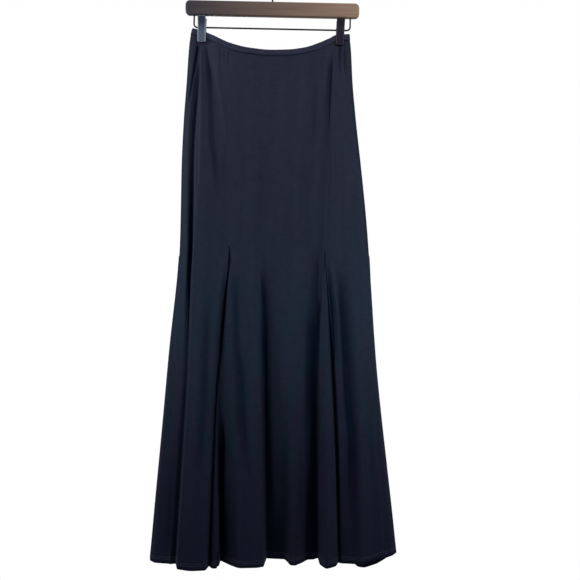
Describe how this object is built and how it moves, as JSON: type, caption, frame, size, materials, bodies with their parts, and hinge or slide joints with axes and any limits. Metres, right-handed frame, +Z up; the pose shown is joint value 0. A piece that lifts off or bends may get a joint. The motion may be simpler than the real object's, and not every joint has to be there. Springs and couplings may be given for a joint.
{
  "type": "long flared skirt on a clip hanger",
  "caption": "Long six-gore trumpet skirt in dark jersey with godets at its seams and a narrow elastic waistband, clipped to a wooden bar hanger.",
  "frame": {"origin": "seat of the hanger's hook: the highest point inside the crook, which rests on the rail that the hanger hangs from", "axes": "+Z up, along the skirt's length from the hem to the hook; +X to the right of someone who looks at the front; the front faces -Y"},
  "size_m": [0.5033, 0.1343, 1.2384],
  "materials": {
    "jersey": "matte knit, blue-black",
    "stained_wood": "dark stain under satin lacquer",
    "bright_wire": "polished plate",
    "clip_steel": "smoky plated spring steel"
  },
  "bodies": {
    "root": {"center_front": "jersey", "side_front_left": "jersey", "side_front_right": "jersey", "center_back": "jersey", "side_back_left": "jersey", "side_back_right": "jersey", "godet_front_left": "jersey", "godet_front_right": "jersey", "godet_side_left": "jersey", "godet_side_right": "jersey", "godet_back_left": "jersey", "godet_back_right": "jersey", "waistband_front": "jersey", "waistband_back": "jersey", "hanger_bar": "stained_wood", "hanger_hook": "bright_wire", "clip_rail": "bright_wire", "clip_left_front": "clip_steel", "clip_left_back": "clip_steel", "clip_left_spring": "clip_steel", "clip_right_front": "clip_steel", "clip_right_back": "clip_steel", "clip_right_spring": "clip_steel"}
  },
  "joints": []
}
